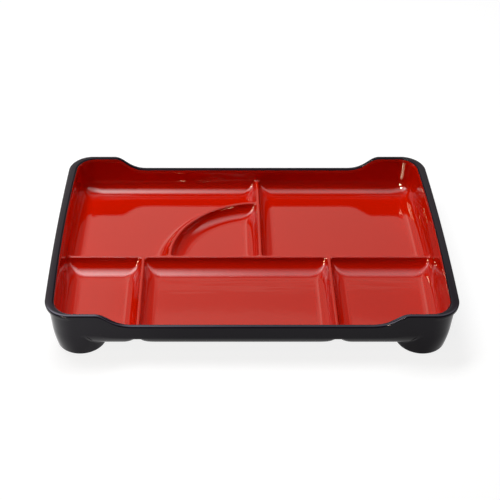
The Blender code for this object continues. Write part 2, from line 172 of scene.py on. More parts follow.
def bow_points(points, bow):
    """The same points with their x bowed in."""
    return np.column_stack([bowed(points[:, 0], points[:, 1], bow), points[:, 1:]])


print("rim height at the middle", round(float(RIM_Z - rim_drop(0)), 4))

# %% [markdown]
# The whole inside of the tray can be seen from straight above, because every wall has draft. So it is one
# height for each place in plan, and the same holds for the tray's underside, the inside of the case and
# the case's underside. All four are the same shape grown by a different amount, as nested mouldings are.
#
# A formula for the height itself would be hard to write. The section at a given height is easy: it is the
# plan of the box, less a strip along each divider, with rounded inside corners. So the height is found by
# halving an interval until the section's edge passes through the place.
#
# A divider ends at its basin height, which is level in the open and climbs the outer wall at both ends.
# Above it the divider's width falls off very steeply, so that nothing stands there.

# %% One nested surface
BASIN_TABLE_STEPS = 2000
STEEP = 5000.0
HALVINGS = 44


def nested(outset, plateau, round_over, walls=None, wall_cove=None, shoulder=None, floor_fillet=FILLET_FLOOR,
           front_stretch=0.0):
    """Sizes of the tray's inside grown by outset. walls holds half width, half depth and corner radius."""
    if walls is None:
        walls = (TRAY_HALF_WIDTH + outset, TRAY_HALF_DEPTH + outset, TRAY_CORNER_RADIUS + outset)
    surface = SimpleNamespace(
        walls=walls, half_width=walls[0], half_depth=walls[1], corner=walls[2], floor=FLOOR_Z - outset,
        ridge_cove=COVE_RADIUS + outset, front_stretch=front_stretch,
        wall_cove=wall_cove or COVE_RADIUS + outset,
        ridge_half=RIDGE_WIDTH / 2 - outset, plateau=plateau, shoulder=shoulder or SHOULDER + outset,
        round_over=round_over, fillet=FILLET_TOP + outset, floor_fillet=floor_fillet)
    turn = np.linspace(0, math.pi / 2, BASIN_TABLE_STEPS)
    rise = surface.shoulder * (1 - np.cos(turn))
    inset = surface.shoulder * (1 - np.sin(turn)) + WALL_DRAFT * (RIM_Z - plateau - rise)
    top = RIM_Z + SHOULDER
    surface.basin_inset = np.append(inset, WALL_DRAFT * (RIM_Z - top))[::-1]
    surface.basin_height = np.append(plateau + rise, top)[::-1]
    return surface


def cove_inset(radius, rise):
    """How far a quarter-round cove stands in from its wall: r - sqrt(r^2 - (r - rise)^2)."""
    left = np.clip(radius - rise, 0, radius)
    return radius - np.sqrt(radius ** 2 - left ** 2)


def rounded(radius, *distances):
    """Signed distance inside several walls at once, with a fillet: r - length of what each lacks of r."""
    return radius - np.sqrt(sum(np.clip(radius - distance, 0, None) ** 2 for distance in distances))


def wall_distance(x, y, surface):
    """Distance inside the full-height outline, a rounded rectangle."""
    over_x = np.abs(x) - (surface.half_width - surface.corner)
    over_y = np.abs(y) - (surface.half_depth - surface.corner)
    outside = np.hypot(np.clip(over_x, 0, None), np.clip(over_y, 0, None))
    return surface.corner - outside - np.minimum(np.maximum(over_x, over_y), 0)


def ridge_width(z, basin, surface):
    """Half width of a divider at height z: its cove, then a round-over tangent to the cove and to the
    basin's height above it, and nothing higher than that."""
    edge = surface.round_over
    reach = surface.ridge_cove + edge
    below = np.clip(surface.floor + surface.ridge_cove - basin + edge, 0, reach)
    centre = surface.ridge_half + surface.ridge_cove - np.sqrt(reach ** 2 - below ** 2)
    tangent = basin - edge + below * edge / reach
    cove = surface.ridge_half + cove_inset(surface.ridge_cove, z - surface.floor)
    over = centre + np.sqrt(np.clip(edge ** 2 - (z - basin + edge) ** 2, 0, None))
    return np.where(z <= tangent, cove, np.where(z <= basin, over, centre - STEEP * (z - basin)))


def hollow(x, y, z, basin, surface):
    """Signed distance inside the open section at height z: positive where the moulding leaves room."""
    draft = WALL_DRAFT * (RIM_Z - z)
    wall_cove = cove_inset(surface.wall_cove, z - surface.floor)
    ridge_cove = cove_inset(surface.ridge_cove, z - surface.floor)
    depth = ridge_cove / surface.ridge_cove
    corner = (surface.corner - draft) * (1 - depth) + CORNER_FLOOR_RADIUS * depth
    walls = rounded(corner, surface.half_width - np.abs(x) - draft - wall_cove,
                    surface.half_depth - np.abs(y) - draft - wall_cove)
    width = ridge_width(z, basin, surface)
    front_width = width + surface.front_stretch * ridge_cove
    fillet = surface.fillet * (1 - depth) + surface.floor_fillet * depth
    front = np.minimum(np.abs(x - LEFT_RIDGE_X), np.abs(x - RIGHT_RIDGE_X))
    across = np.where(y < LONG_RIDGE_Y, front, np.abs(x - REAR_RIDGE_X)) - width
    along = np.abs(y - LONG_RIDGE_Y) - np.where(y < LONG_RIDGE_Y, front_width, width)
    quarter = np.abs(np.hypot(x - HUB[0], y - HUB[1]) - QUARTER_RADIUS)
    quarter = np.where((x < HUB[0]) & (y > HUB[1]), quarter, HALF_WIDTH) - width
    return rounded(fillet, walls, across, along, quarter)


def height(x, y, surface):
    """Height of the surface at each place: the lowest z whose section reaches the place."""
    basin = np.interp(wall_distance(x, y, surface), surface.basin_inset, surface.basin_height)
    low = np.full(x.shape, surface.floor)
    high = np.full(x.shape, RIM_Z + SHOULDER)
    on_floor = hollow(x, y, low, basin, surface) >= 0
    for _ in range(HALVINGS):
        middle = (low + high) / 2
        open_there = hollow(x, y, middle, basin, surface) >= 0
        high = np.where(open_there, middle, high)
        low = np.where(open_there, low, middle)
    return np.where(on_floor, surface.floor, high)


# %% [markdown]
# A mesh needs its lines along the dividers and the coves, or their highlights turn ragged. So each well gets
# its own net: rings that start on the divider's centre line and on the rim, and step inward to the flat
# floor. An edge of a well is a straight line or an arc, and moves inward as the rings do. Neighbouring
# wells place the same points on the line that they share, so the nets close.

# %% Edges of the wells
ARC_STEPS = 44
WALL_SPACING = 1.4 * MM
RIDGE_SPACING = 4.0 * MM
SHOULDER_STEPS = 9
CLIFF_STEPS = 6
CLIFF = 1.5 * MM
CLIMB_SHARE = 1.2


def line_edge(point, inward, kind, steps):
    """A straight edge of a well. Its kind, wall, ridge or front, says which inset moves it."""
    return {"point": np.array(point, float), "inward": np.array(inward, float), "kind": kind, "steps": steps}


def moved(edge, inset):
    """The edge moved into the well."""
    copy = dict(edge)
    if "point" in edge:
        copy["point"] = edge["point"] + edge["inward"] * inset
    else:
        copy["radius"] = edge["radius"] - edge["side"] * inset
    return copy


def meeting(first, second, near):
    """Where two edges cross, the crossing nearest to a point."""
    if "point" in first and "point" in second:
        matrix = np.array([first["inward"], second["inward"]])
        return np.linalg.solve(matrix, [first["inward"] @ first["point"], second["inward"] @ second["point"]])
    line, arc = (first, second) if "point" in first else (second, first)
    distance = (line["point"] - HUB) @ line["inward"]
    half_chord = math.sqrt(max(arc["radius"] ** 2 - distance ** 2, 0))
    foot = HUB + line["inward"] * distance
    along = np.array([-line["inward"][1], line["inward"][0]])
    return min((foot + along * half_chord, foot - along * half_chord), key=lambda p: np.linalg.norm(p - near))


def nearest(edge, point):
    """The point of an edge that is nearest to another point."""
    if "point" in edge:
        return point - edge["inward"] * ((point - edge["point"]) @ edge["inward"])
    away = point - HUB
    return HUB + away * edge["radius"] / np.linalg.norm(away)


def turned(centre, start, end, shares):
    """Points round a centre from start, the short way, at shares of the turn to end."""
    first, last = start - centre, end - centre
    begin = math.atan2(first[1], first[0])
    sweep = math.remainder(math.atan2(last[1], last[0]) - begin, 2 * math.pi)
    angle = begin + sweep * shares
    return centre + np.linalg.norm(first) * np.stack([np.cos(angle), np.sin(angle)], axis=1)


def between(steps):
    """Even shares of a run of this many steps, both ends left out."""
    return np.linspace(0, 1, steps + 1)[1:-1]


def steps_over(length, spacing):
    """How many steps of about this spacing a length holds. It takes the tray's own lengths, so that every
    nested surface gets the same points."""
    return max(int(length / spacing), 2)


def run_from_wall(length, steps):
    """Places along a divider from the wall: close where it climbs the wall, wide in the open."""
    cliff = np.linspace(0, CLIFF, CLIFF_STEPS)
    turn = np.linspace(0, math.pi / 2, SHOULDER_STEPS)[1:]
    climb = CLIFF + CLIMB_SHARE * SHOULDER * (1 - np.cos(turn))
    left = length - climb[-1]
    return np.concatenate([cliff, climb, climb[-1] + left * between(steps), [length]])


def even(start, end):
    """Places along a divider between two others."""
    return np.linspace(start, end, steps_over(abs(end - start), RIDGE_SPACING) + 1)


def wells(half_width, half_depth):
    """Edges of the six wells, counter-clockwise, with the places of their points as shares."""
    rear = half_depth - LONG_RIDGE_Y
    front = half_depth + LONG_RIDGE_Y
    front_depth = TRAY_HALF_DEPTH + LONG_RIDGE_Y
    rear_depth = TRAY_HALF_DEPTH - LONG_RIDGE_Y
    quarter_left = REAR_RIDGE_X - QUARTER_RADIUS
    open_steps = steps_over(TRAY_HALF_WIDTH / 2, RIDGE_SPACING)
    first = run_from_wall(half_width + LEFT_RIDGE_X, open_steps) - half_width
    second = even(LEFT_RIDGE_X, quarter_left)
    third = even(quarter_left, REAR_RIDGE_X)
    fourth = even(REAR_RIDGE_X, RIGHT_RIDGE_X)
    fifth = half_width - run_from_wall(half_width - RIGHT_RIDGE_X, open_steps)[::-1]
    front_run = run_from_wall(front, open_steps)
    rear_low = even(0, QUARTER_RADIUS)
    rear_high = rear - run_from_wall(rear - QUARTER_RADIUS, open_steps)[::-1]

    def shares(*runs):
        """One rising list of places from runs that meet end to end, as shares, both ends left out."""
        places = np.concatenate([runs[0]] + [run[1:] for run in runs[1:]])
        return ((places - places[0]) / (places[-1] - places[0]))[1:-1]

    def back(list_of_shares):
        return 1 - list_of_shares[::-1]

    def wall(side, length, spacing=WALL_SPACING):
        point, inward = {"left": ((-half_width, 0), (1, 0)), "right": ((half_width, 0), (-1, 0)),
                         "front": ((0, -half_depth), (0, 1)), "back": ((0, half_depth), (0, -1))}[side]
        return line_edge(point, inward, "wall", between(steps_over(length, spacing)))

    def divider_x(x, side, steps):
        return line_edge((x, 0), (side, 0), "ridge", steps)

    def divider_y(side, steps):
        return line_edge((0, LONG_RIDGE_Y), (0, side), "front" if side < 0 else "ridge", steps)

    def arc(side):
        return {"centre": HUB, "radius": QUARTER_RADIUS, "side": side, "kind": "ridge",
                "steps": between(ARC_STEPS)}

    down, up = back(shares(front_run)), shares(front_run)
    shapes = {
        "front_left": [wall("front", TRAY_HALF_WIDTH + LEFT_RIDGE_X), divider_x(LEFT_RIDGE_X, -1, up),
                       divider_y(-1, back(shares(first))), wall("left", front_depth)],
        "front_middle": [wall("front", RIGHT_RIDGE_X - LEFT_RIDGE_X, RIDGE_SPACING),
                         divider_x(RIGHT_RIDGE_X, -1, up), divider_y(-1, back(shares(second, third, fourth))),
                         divider_x(LEFT_RIDGE_X, 1, down)],
        "front_right": [wall("front", TRAY_HALF_WIDTH - RIGHT_RIDGE_X), wall("right", front_depth),
                        divider_y(-1, back(shares(fifth))), divider_x(RIGHT_RIDGE_X, 1, down)],
        "rear_right": [divider_y(1, shares(fourth, fifth)), wall("right", rear_depth),
                       wall("back", TRAY_HALF_WIDTH - REAR_RIDGE_X),
                       divider_x(REAR_RIDGE_X, 1, back(shares(rear_low, rear_high)))],
        "quarter_round": [divider_y(1, shares(third)), divider_x(REAR_RIDGE_X, -1, shares(rear_low)), arc(1)],
        "rear_left": [divider_y(1, shares(first, second)), arc(-1),
                      divider_x(REAR_RIDGE_X, -1, shares(rear_high)),
                      wall("back", TRAY_HALF_WIDTH + REAR_RIDGE_X), wall("left", rear_depth)],
    }
    left_of_hub = np.array([quarter_left, LONG_RIDGE_Y])
    behind_hub = HUB + np.array([0, QUARTER_RADIUS])
    hints = {"quarter_round": {2: behind_hub, 0: left_of_hub}, "rear_left": {1: left_of_hub, 2: behind_hub}}
    for name, edges in shapes.items():
        for number, edge in enumerate(edges):
            edge["hint"] = hints.get(name, {}).get(number, np.zeros(2))
    return shapes


print("wells", list(wells(TRAY_HALF_WIDTH, TRAY_HALF_DEPTH)))

# %% [markdown]
# A ring of a well is its edges moved inward, with an arc of fixed point count in each corner. A corner of
# two outer walls is large, and one at a divider is a small fillet.

# %% One ring of a well
CORNER_STEPS = 16
FILLET_STEPS = 8
FILLET_LIMIT_SHARE = 0.42


def well_ring(edges, wall_inset, ridge_inset, front_inset, corner, fillet):
    """One ring of a well. Corner number k lies between edge k - 1 and edge k."""
    inset = {"wall": wall_inset, "ridge": ridge_inset, "front": front_inset}
    ring = [moved(edge, inset[edge["kind"]]) for edge in edges]
    sharp = [meeting(ring[number - 1], edge, meeting(edges[number - 1], edges[number], edge["hint"]))
             for number, edge in enumerate(ring)]
    corners = []
    for number, edge in enumerate(ring):
        before = ring[number - 1]
        both_walls = edge["kind"] == before["kind"] == "wall"
        room = min(np.linalg.norm(sharp[number] - other)
                   for other in (sharp[number - 1], sharp[(number + 1) % len(edges)]))
        radius = min(corner if both_walls else fillet, FILLET_LIMIT_SHARE * room)
        centre = meeting(moved(before, radius), moved(edge, radius), sharp[number])
        start, end = nearest(before, centre), nearest(edge, centre)
        shares = np.linspace(0, 1, (CORNER_STEPS if both_walls else FILLET_STEPS) + 1)
        if radius > 0:
            corners.append(turned(centre, start, end, shares))
        else:
            corners.append(np.repeat(start[None], len(shares), axis=0))
    loop = []
    for number, edge in enumerate(edges):
        loop.append(corners[number])
        start, end = corners[number][-1], corners[(number + 1) % len(edges)][0]
        if "centre" in edge:
            loop.append(turned(HUB, start, end, edge["steps"]))
        else:
            loop.append(start + (end - start) * edge["steps"][:, None])
    return np.concatenate(loop)


# %% [markdown]
# The rings of one surface: a few close ones over the divider's top and down the steep wall, then one for
# each step of the cove's angle, and a last one on the flat floor. That last ring keeps the floor's normals
# upright, so its mirror stays flat up to the cove.

# %% Nets of the wells
COVE_STEPS = 16
TOP_RINGS = 8
HIDDEN_COVE_STEPS = 10
HIDDEN_TOP_RINGS = 5
UNDER_STEPS = 12
FLOOR_MARGIN = 0.8 * MM
LEAST_TOP = 0.3 * MM
CLEAR_OF_TOP_SHARE = 1.1
DROP_REACH = 3.0 * MM


def ring_sizes(surface, edge_inset, cove_steps, top_rings):
    """Insets from wall, divider and long divider's front, corner radius and fillet of each ring, from the
    rim to the floor."""
    turn = np.linspace(math.pi / 2, 0, cove_steps + 1)
    rise_ridge = surface.ridge_cove * (1 - np.cos(turn))
    rise_wall = surface.wall_cove * (1 - np.cos(turn))
    ridge_top = ridge_width(np.array([surface.plateau - surface.round_over]), surface.plateau, surface)[0]
    ridge_top = max(ridge_top, LEAST_TOP)
    ridge = surface.ridge_half + surface.ridge_cove * (1 - np.sin(turn))
    wall = surface.wall_cove * (1 - np.sin(turn)) + WALL_DRAFT * (RIM_Z - surface.floor - rise_wall)
    front = ridge + surface.front_stretch * cove_inset(surface.ridge_cove, rise_ridge)
    below_top = rise_ridge < surface.plateau - surface.floor - surface.round_over
    keep = below_top & (ridge > ridge_top * CLEAR_OF_TOP_SHARE)
    share = np.linspace(0, 1, top_rings)
    wall_top = WALL_DRAFT * (RIM_Z - surface.floor - surface.wall_cove)

    def insets(over_top, cove):
        return np.concatenate([over_top, cove[keep], cove[-1:] + FLOOR_MARGIN])

    ridges, fronts = insets(share * ridge_top, ridge), insets(share * ridge_top, front)
    walls = insets(edge_inset + share * (wall_top - edge_inset), wall)
    floor_share = np.concatenate([0 * share, (ridge[keep] - ridge_top) / (ridge[-1] - ridge_top), [1]])
    corners = (surface.corner - walls) * (1 - floor_share) + CORNER_FLOOR_RADIUS * floor_share
    fillets = surface.fillet + (surface.floor_fillet - surface.fillet) * floor_share
    fillets[:top_rings] = share * surface.fillet
    return np.stack([walls, ridges, fronts, corners, fillets], axis=1)


def strip_faces(rings, count, first):
    """Quads between equal closed rings that start at a point number."""
    step = np.arange(count)
    after = (step + 1) % count
    base = first + np.arange(rings - 1)[:, None] * count
    quads = np.stack([base + step, base + after, base + count + after, base + count + step], axis=-1)
    return quads.reshape(-1, 4).tolist()


def lowered(y, drop_inset, edge_y):
    """Follow the low rim: at distance d inside the edge, y loses drop (1 - d / reach), down to nothing."""
    near = np.clip(edge_y - np.abs(y), 0, DROP_REACH)
    return y - np.sign(y) * drop_inset * (1 - near / DROP_REACH)


def surface_net(surface, edge_z, cove_steps=COVE_STEPS, top_rings=TOP_RINGS):
    """Points and faces of all six wells. edge_z is how far the net's upper edge lies below the rim."""
    points, faces, first = [], [], 0
    edge_inset = WALL_DRAFT * edge_z
    sizes = ring_sizes(surface, edge_inset, cove_steps, top_rings)
    for edges in wells(surface.half_width - edge_inset, surface.half_depth - edge_inset).values():
        rings = np.array([well_ring(edges, wall - edge_inset, ridge, front, corner, fillet)
                          for wall, ridge, front, corner, fillet in sizes])
        count = rings.shape[1]
        x, y = rings[..., 0], rings[..., 1]
        y = lowered(y, WALL_DRAFT * rim_drop(x), surface.half_depth - edge_inset)
        z = height(x, y, surface)
        points.append(np.stack([x, y, z], axis=-1).reshape(-1, 3))
        faces += strip_faces(len(sizes), count, first)
        first += points[-1].shape[0]
        faces.append(list(range(first - count, first)))
    return np.concatenate(points), faces


def rim_loop(walls, below):
    """Points all round the box at a depth below the rim, one for each point of the nets' upper edge."""
    loops = []
    half_width, half_depth, corner = (size - WALL_DRAFT * below for size in walls)
    outline = SimpleNamespace(half_width=half_width, half_depth=half_depth, corner=corner)
    for edges in wells(half_width, half_depth).values():
        loop = well_ring(edges, 0, 0, 0, corner, 0)
        loops.append(loop[np.abs(wall_distance(loop[:, 0], loop[:, 1], outline)) < TOUCH])
    loop = np.concatenate(loops)
    loop[:, 1] = lowered(loop[:, 1], WALL_DRAFT * rim_drop(loop[:, 0]), half_depth)
    angle = np.arctan2(loop[:, 1], loop[:, 0])
    loop = loop[np.argsort(angle, kind="stable")]
    step = np.linalg.norm(loop - np.roll(loop, 1, axis=0), axis=1)
    loop = loop[step > TOUCH]
    return np.column_stack([loop, RIM_Z - below - rim_drop(loop[:, 0])])


# %% [markdown]
# Both shells are put together in the same way: the net of the inside, the net of the outside, and a strip
# round the rim between them. Points that lie on each other are welded, and all faces are turned outward.

# %% Make an object from points and faces
WELD = MM / 400


def placed(name, data):
    """A new object in the scene."""
    thing = bpy.data.objects.new(name, data)
    bpy.context.scene.collection.objects.link(thing)
    return thing


def shell_object(name, points, faces, material, edge_material=None, edge_faces=0):
    """A welded, closed mesh with its place in its points. The last edge_faces faces get the edge material."""
    mesh = bpy.data.meshes.new(name)
    mesh.from_pydata(points.tolist(), [], faces)
    mesh.materials.append(material)
    if edge_material is not None:
        mesh.materials.append(edge_material)
        index = np.zeros(len(faces), dtype=np.int32)
        index[len(faces) - edge_faces:] = 1
        mesh.polygons.foreach_set("material_index", index)
    sketch = bmesh.new()
    sketch.from_mesh(mesh)
    bmesh.ops.remove_doubles(sketch, verts=sketch.verts, dist=WELD)
    bmesh.ops.dissolve_degenerate(sketch, edges=sketch.edges, dist=WELD)
    bmesh.ops.recalc_face_normals(sketch, faces=sketch.faces)
    open_edges = sum(not edge.is_manifold for edge in sketch.edges)
    sketch.to_mesh(mesh)
    sketch.free()
    mesh.shade_smooth()
    mesh.calc_loop_triangles()
    print(name, "triangles", len(mesh.loop_triangles), "open edges", open_edges)
    return placed(name, mesh)


def join_shell(inside, outside, rings):
    """Points and faces of a shell: two nets, the outer one turned over, and closed rings from the first
    net's edge over the rim to the second's."""
    (inside_points, inside_faces), (outside_points, outside_faces) = inside, outside
    first = len(inside_points)
    faces = inside_faces + [[corner + first for corner in face[::-1]] for face in outside_faces]
    faces += strip_faces(len(rings), len(rings[0]), first + len(outside_points))
    return np.concatenate([inside_points, outside_points] + rings), faces


# %% [markdown]
# The finishes start from what the real ones are. The box is moulded ABS under a sprayed urethane lacquer, a
# clear, hard film over colour, so each material is a clear gloss with a low roughness over its ground. To
# the eye that gives a deep mirror over a saturated colour. A moulding is never quite flat, and a very faint,
# long wave in the normals lets the reflections swim as they do on the real floors.
#
# First come the helpers: one turns a hex colour to linear light, one adds a node, and the rest are the few
# kinds of node that every finish here is made of.

# %% Material helpers
SRGB_KNEE = 0.04045
SRGB_SLOPE = 12.92
SRGB_OFFSET = 0.055
SRGB_POWER = 2.4
WHITE = (1, 1, 1, 1)


def linear(hex_colour):
    """sRGB hex to linear RGBA."""
    channels = np.array([int(hex_colour[place:place + 2], 16) for place in (1, 3, 5)]) / 255
    curve = ((channels + SRGB_OFFSET) / (1 + SRGB_OFFSET)) ** SRGB_POWER
    value = np.where(channels <= SRGB_KNEE, channels / SRGB_SLOPE, curve)
    return (*value.tolist(), 1.0)


def add_node(tree, kind, settings=None, values=None, links=None):
    """Add a node, set its properties and sockets, and link its inputs."""
    node = tree.nodes.new(kind)
    for name, value in (settings or {}).items():
        setattr(node, name, value)
    for name, value in (values or {}).items():
        node.inputs[name].default_value = value
    for name, source in (links or {}).items():
        tree.links.new(source, node.inputs[name])
    return node


def combined(tree, operation, first, second):
    """One Math node on two sources or numbers."""
    node = add_node(tree, "ShaderNodeMath", {"operation": operation})
    for place, source in enumerate((first, second)):
        if isinstance(source, (int, float)):
            node.inputs[place].default_value = source
        else:
            tree.links.new(source, node.inputs[place])
    return node.outputs[0]


def ramp(tree, source, start, end, low, high, kind="SMOOTHSTEP"):
    """From low to high as the source goes from start to end, smoothly unless the kind is LINEAR."""
    return add_node(tree, "ShaderNodeMapRange", {"interpolation_type": kind},
                    {"From Min": start, "From Max": end, "To Min": low, "To Max": high},
                    {"Value": source}).outputs["Result"]


def graded(tree, level, *ramps):
    """A level times several smooth ramps, each given as source, start, end, low and high."""
    for values in ramps:
        level = combined(tree, "MULTIPLY", level, ramp(tree, *values))
    return level


def noise(tree, place, scale, detail):
    """Soft noise over a place, in spots about 1 / scale wide."""
    return add_node(tree, "ShaderNodeTexNoise", values={"Scale": scale, "Detail": detail},
                    links={"Vector": place}).outputs["Fac"]


def axes(tree, kind):
    """X, Y and Z of one of the shading point's coordinates."""
    place = add_node(tree, "ShaderNodeTexCoord").outputs[kind]
    return add_node(tree, "ShaderNodeSeparateXYZ", links={"Vector": place}).outputs


def ray_kinds(tree):
    """Whether a ray comes from the camera, straight or through clear pieces, and whether it is a mirror's."""
    path = add_node(tree, "ShaderNodeLightPath").outputs
    seen = combined(tree, "MAXIMUM", path["Is Camera Ray"], path["Is Transmission Ray"])
    return seen, path["Is Glossy Ray"]


def new_material(name):
    """A material, its node tree and its surface shader."""
    material = bpy.data.materials.new(name)
    material.use_nodes = True
    tree = material.node_tree
    return material, tree, tree.nodes["Principled BSDF"]


# %% [markdown]
# The lacquer's two tones differ by less than the eye can name, over several centimetres, and fine dust pits
# change the roughness a little. The relief is the swim. Where calm_from is given, the swim is weaker in
# front of that y and almost gone behind it, and long ripples run along the front wells, as a floor draws in
# where the moulding cools.

# %% Gloss plastic
DUST_SIZE = 0.6 * MM
DUST_RANGE = (0.3, 0.8)
HAZE_SHARE = 1.6
SWIM_SHARES = (0.3, 0.04)
SWIM_TURNOVER = 2.0 * MM
RIPPLE_LENGTH = 50.0 * MM
RIPPLE_WIDTH = 3.2 * MM
RIPPLE_LEVEL = 2.2
RIPPLE_ZONE = ((44.0 * MM, 30.0 * MM), (22.0 * MM, 17.0 * MM))


def relief_of(tree, place, wave_size, calm_from):
    """Height of the surface's faint relief: the swim, and the ripples in front of calm_from."""
    swim = noise(tree, place, 1 / wave_size, 1.0)
    if calm_from is None:
        return swim
    depth = axes(tree, "Object")["Y"]
    calm = ramp(tree, depth, calm_from, calm_from + SWIM_TURNOVER, *SWIM_SHARES, "LINEAR")
    stretch = add_node(tree, "ShaderNodeMapping", values={"Scale": (1 / RIPPLE_LENGTH, 1 / RIPPLE_WIDTH, 0)},
                       links={"Vector": place})
    ripple = noise(tree, stretch.outputs["Vector"], 1.0, 0.0)
    near, far = ([calm_from - distance for distance in pair] for pair in RIPPLE_ZONE)
    zone = graded(tree, ramp(tree, depth, *near, 0, RIPPLE_LEVEL), (depth, *far, 1, 0))
    swim = combined(tree, "MULTIPLY", swim, calm)
    return combined(tree, "ADD", swim, combined(tree, "MULTIPLY", ripple, zone))


def gloss_plastic(name, colour, deep, sheen, ior, roughness, wave_height, wave_size, tint_size,
                  calm_from=None):
    """Moulded ABS under urethane lacquer: two near tones, a swim in the mirror and a haze of fine dust."""
    material, tree, shader = new_material(name)
    shader.inputs["IOR"].default_value = ior
    shader.inputs["Specular Tint"].default_value = linear(sheen)
    place = add_node(tree, "ShaderNodeTexCoord").outputs["Object"]
    tone = add_node(tree, "ShaderNodeMix", {"data_type": "RGBA"}, {6: linear(colour), 7: linear(deep)},
                    {"Factor": noise(tree, place, 1 / tint_size, 2.0)})
    dust = noise(tree, place, 1 / DUST_SIZE, 3.0)
    haze = ramp(tree, dust, *DUST_RANGE, roughness, roughness * HAZE_SHARE, "LINEAR")
    bump = add_node(tree, "ShaderNodeBump", values={"Strength": 1.0, "Distance": wave_height},
                    links={"Height": relief_of(tree, place, wave_size, calm_from)})
    tree.links.new(tone.outputs[2], shader.inputs["Base Color"])
    tree.links.new(haze, shader.inputs["Roughness"])
    tree.links.new(bump.outputs["Normal"], shader.inputs["Normal"])
    return material


# The black reflects less than a thick lacquer's 1.5 would, and its ground leans to violet.
black_lacquer = gloss_plastic(
    "black_urethane_on_abs", colour="#170F1B", deep="#130B16", sheen="#F6F0FF", ior=1.295, roughness=0.05,
    wave_height=0.02 * MM, wave_size=26 * MM, tint_size=60 * MM)
vermilion_lacquer = gloss_plastic(
    "vermilion_urethane_on_abs", colour="#C01600", deep="#B81200", sheen="#FFFFF6", ior=1.5, roughness=0.035,
    wave_height=0.045 * MM, wave_size=9 * MM, tint_size=90 * MM, calm_from=LONG_RIDGE_Y)
print("finishes", black_lacquer.name, vermilion_lacquer.name)

# %% [markdown]
# The tray is two nets and the strip between their edges. Its top edge leans back from the opening in a
# gentle curve, and ends in a very small round. The last rings of that strip carry the case's black, because
# the sprayer masks the vermilion just below the edge.

# %% The tray
ROUND_STEPS = 6
LIP_ROUND_STEPS = 10
EDGE_STEPS = 4
LEAN_STEPS = 8


def quarter_round(reach, rise, steps=ROUND_STEPS):
    """Places from a rim's edge up to its top: out = reach (1 - cos a), up = rise sin a."""
    turn = np.linspace(0, math.pi / 2, steps + 1)
    return np.outer(1 - np.cos(turn), reach), np.outer(np.sin(turn), rise)


def outward(loop, half_width, half_depth, corner):
    """Unit vector out of a rounded rectangle at each point of its outline."""
    over = np.clip(np.abs(loop[:, :2]) - (np.array([half_width, half_depth]) - corner), 0, None)
    return over * np.sign(loop[:, :2]) / np.linalg.norm(over, axis=1)[:, None]


def rim_strip(inner, outer, way, inner_edge, outer_edge):
    """Rings over a rim. inner and outer are its two lower edges, and each edge shape lists how far in the
    rim's thickness and how far up its rings lie."""

    def raised(loop, way, edge):
        return [np.column_stack([loop[:, :2] + way * out[:, None], loop[:, 2] + up])
                for out, up in zip(*edge)]

    return raised(inner, way, inner_edge) + raised(outer, -way, outer_edge)[::-1]


def make_tray():
    """Inside, outside and rim of the vermilion tray."""
    inside = nested(0, RIDGE_Z, RIDGE_ROUND, front_stretch=FRONT_COVE_REACH / COVE_RADIUS - 1)
    outside = nested(TRAY_WALL, RIDGE_Z - TRAY_WALL, UNDER_ROUND)
    top_edge = TRAY_STEP + TRAY_LEAN
    under_edge = TRAY_STEP + TRAY_EDGE
    inner, outer = rim_loop(inside.walls, top_edge), rim_loop(outside.walls, under_edge)
    way = outward(outer, *outside.walls)
    one = np.ones(len(inner))
    lean = np.linspace(0, 1, LEAN_STEPS + 1)[:-1]
    round_out, round_up = (part[:, 0] for part in quarter_round([TRAY_EDGE], [TRAY_EDGE], EDGE_STEPS))
    reach, rise = TRAY_LEAN_REACH - TRAY_EDGE, TRAY_LEAN - TRAY_EDGE
    lean_out = np.concatenate([reach * lean ** 2, reach + round_out])
    lean_up = np.concatenate([rise * lean, rise + round_up])
    inner_edge = (np.outer(lean_out, one), np.outer(lean_up, one))
    outer_edge = quarter_round(TRAY_EDGE * one, TRAY_EDGE * one, EDGE_STEPS)
    rings = rim_strip(inner, outer, way, inner_edge, outer_edge)
    print("rim points", len(inner), len(outer))
    points, faces = join_shell(surface_net(inside, top_edge),
                               surface_net(outside, under_edge, HIDDEN_COVE_STEPS, HIDDEN_TOP_RINGS), rings)
    black_faces = (len(rings) - 1 - TRAY_RED_RINGS) * len(inner)
    return shell_object("lacquered_tray", bow_points(points, TRAY_SIDE_BOW), faces, vermilion_lacquer,
                        black_lacquer, black_faces)


tray = make_tray()
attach(tray, "tray")
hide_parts("divided_tray")

# %% [markdown]
# The case closes in the same way, with a lip along its sides. The rim's outer round is large along the
# front, small along the back and between the two at the sides, so each point of the loop takes a share of
# all three from the way it faces.

# %% The case
LIP_STEPS = 10
RIM_SIDE_STEPS = 3
CASE_WALLS = (HALF_WIDTH - LIP_REACH, HALF_DEPTH, CORNER_RADIUS)
UNDERSIDE = nested(STACK, SKIRT_Z, UNDER_ROUND, walls=CASE_WALLS, wall_cove=UNDER_COVE_RADIUS,
                   shoulder=SKIRT_ROUND, floor_fillet=UNDER_FILLET)


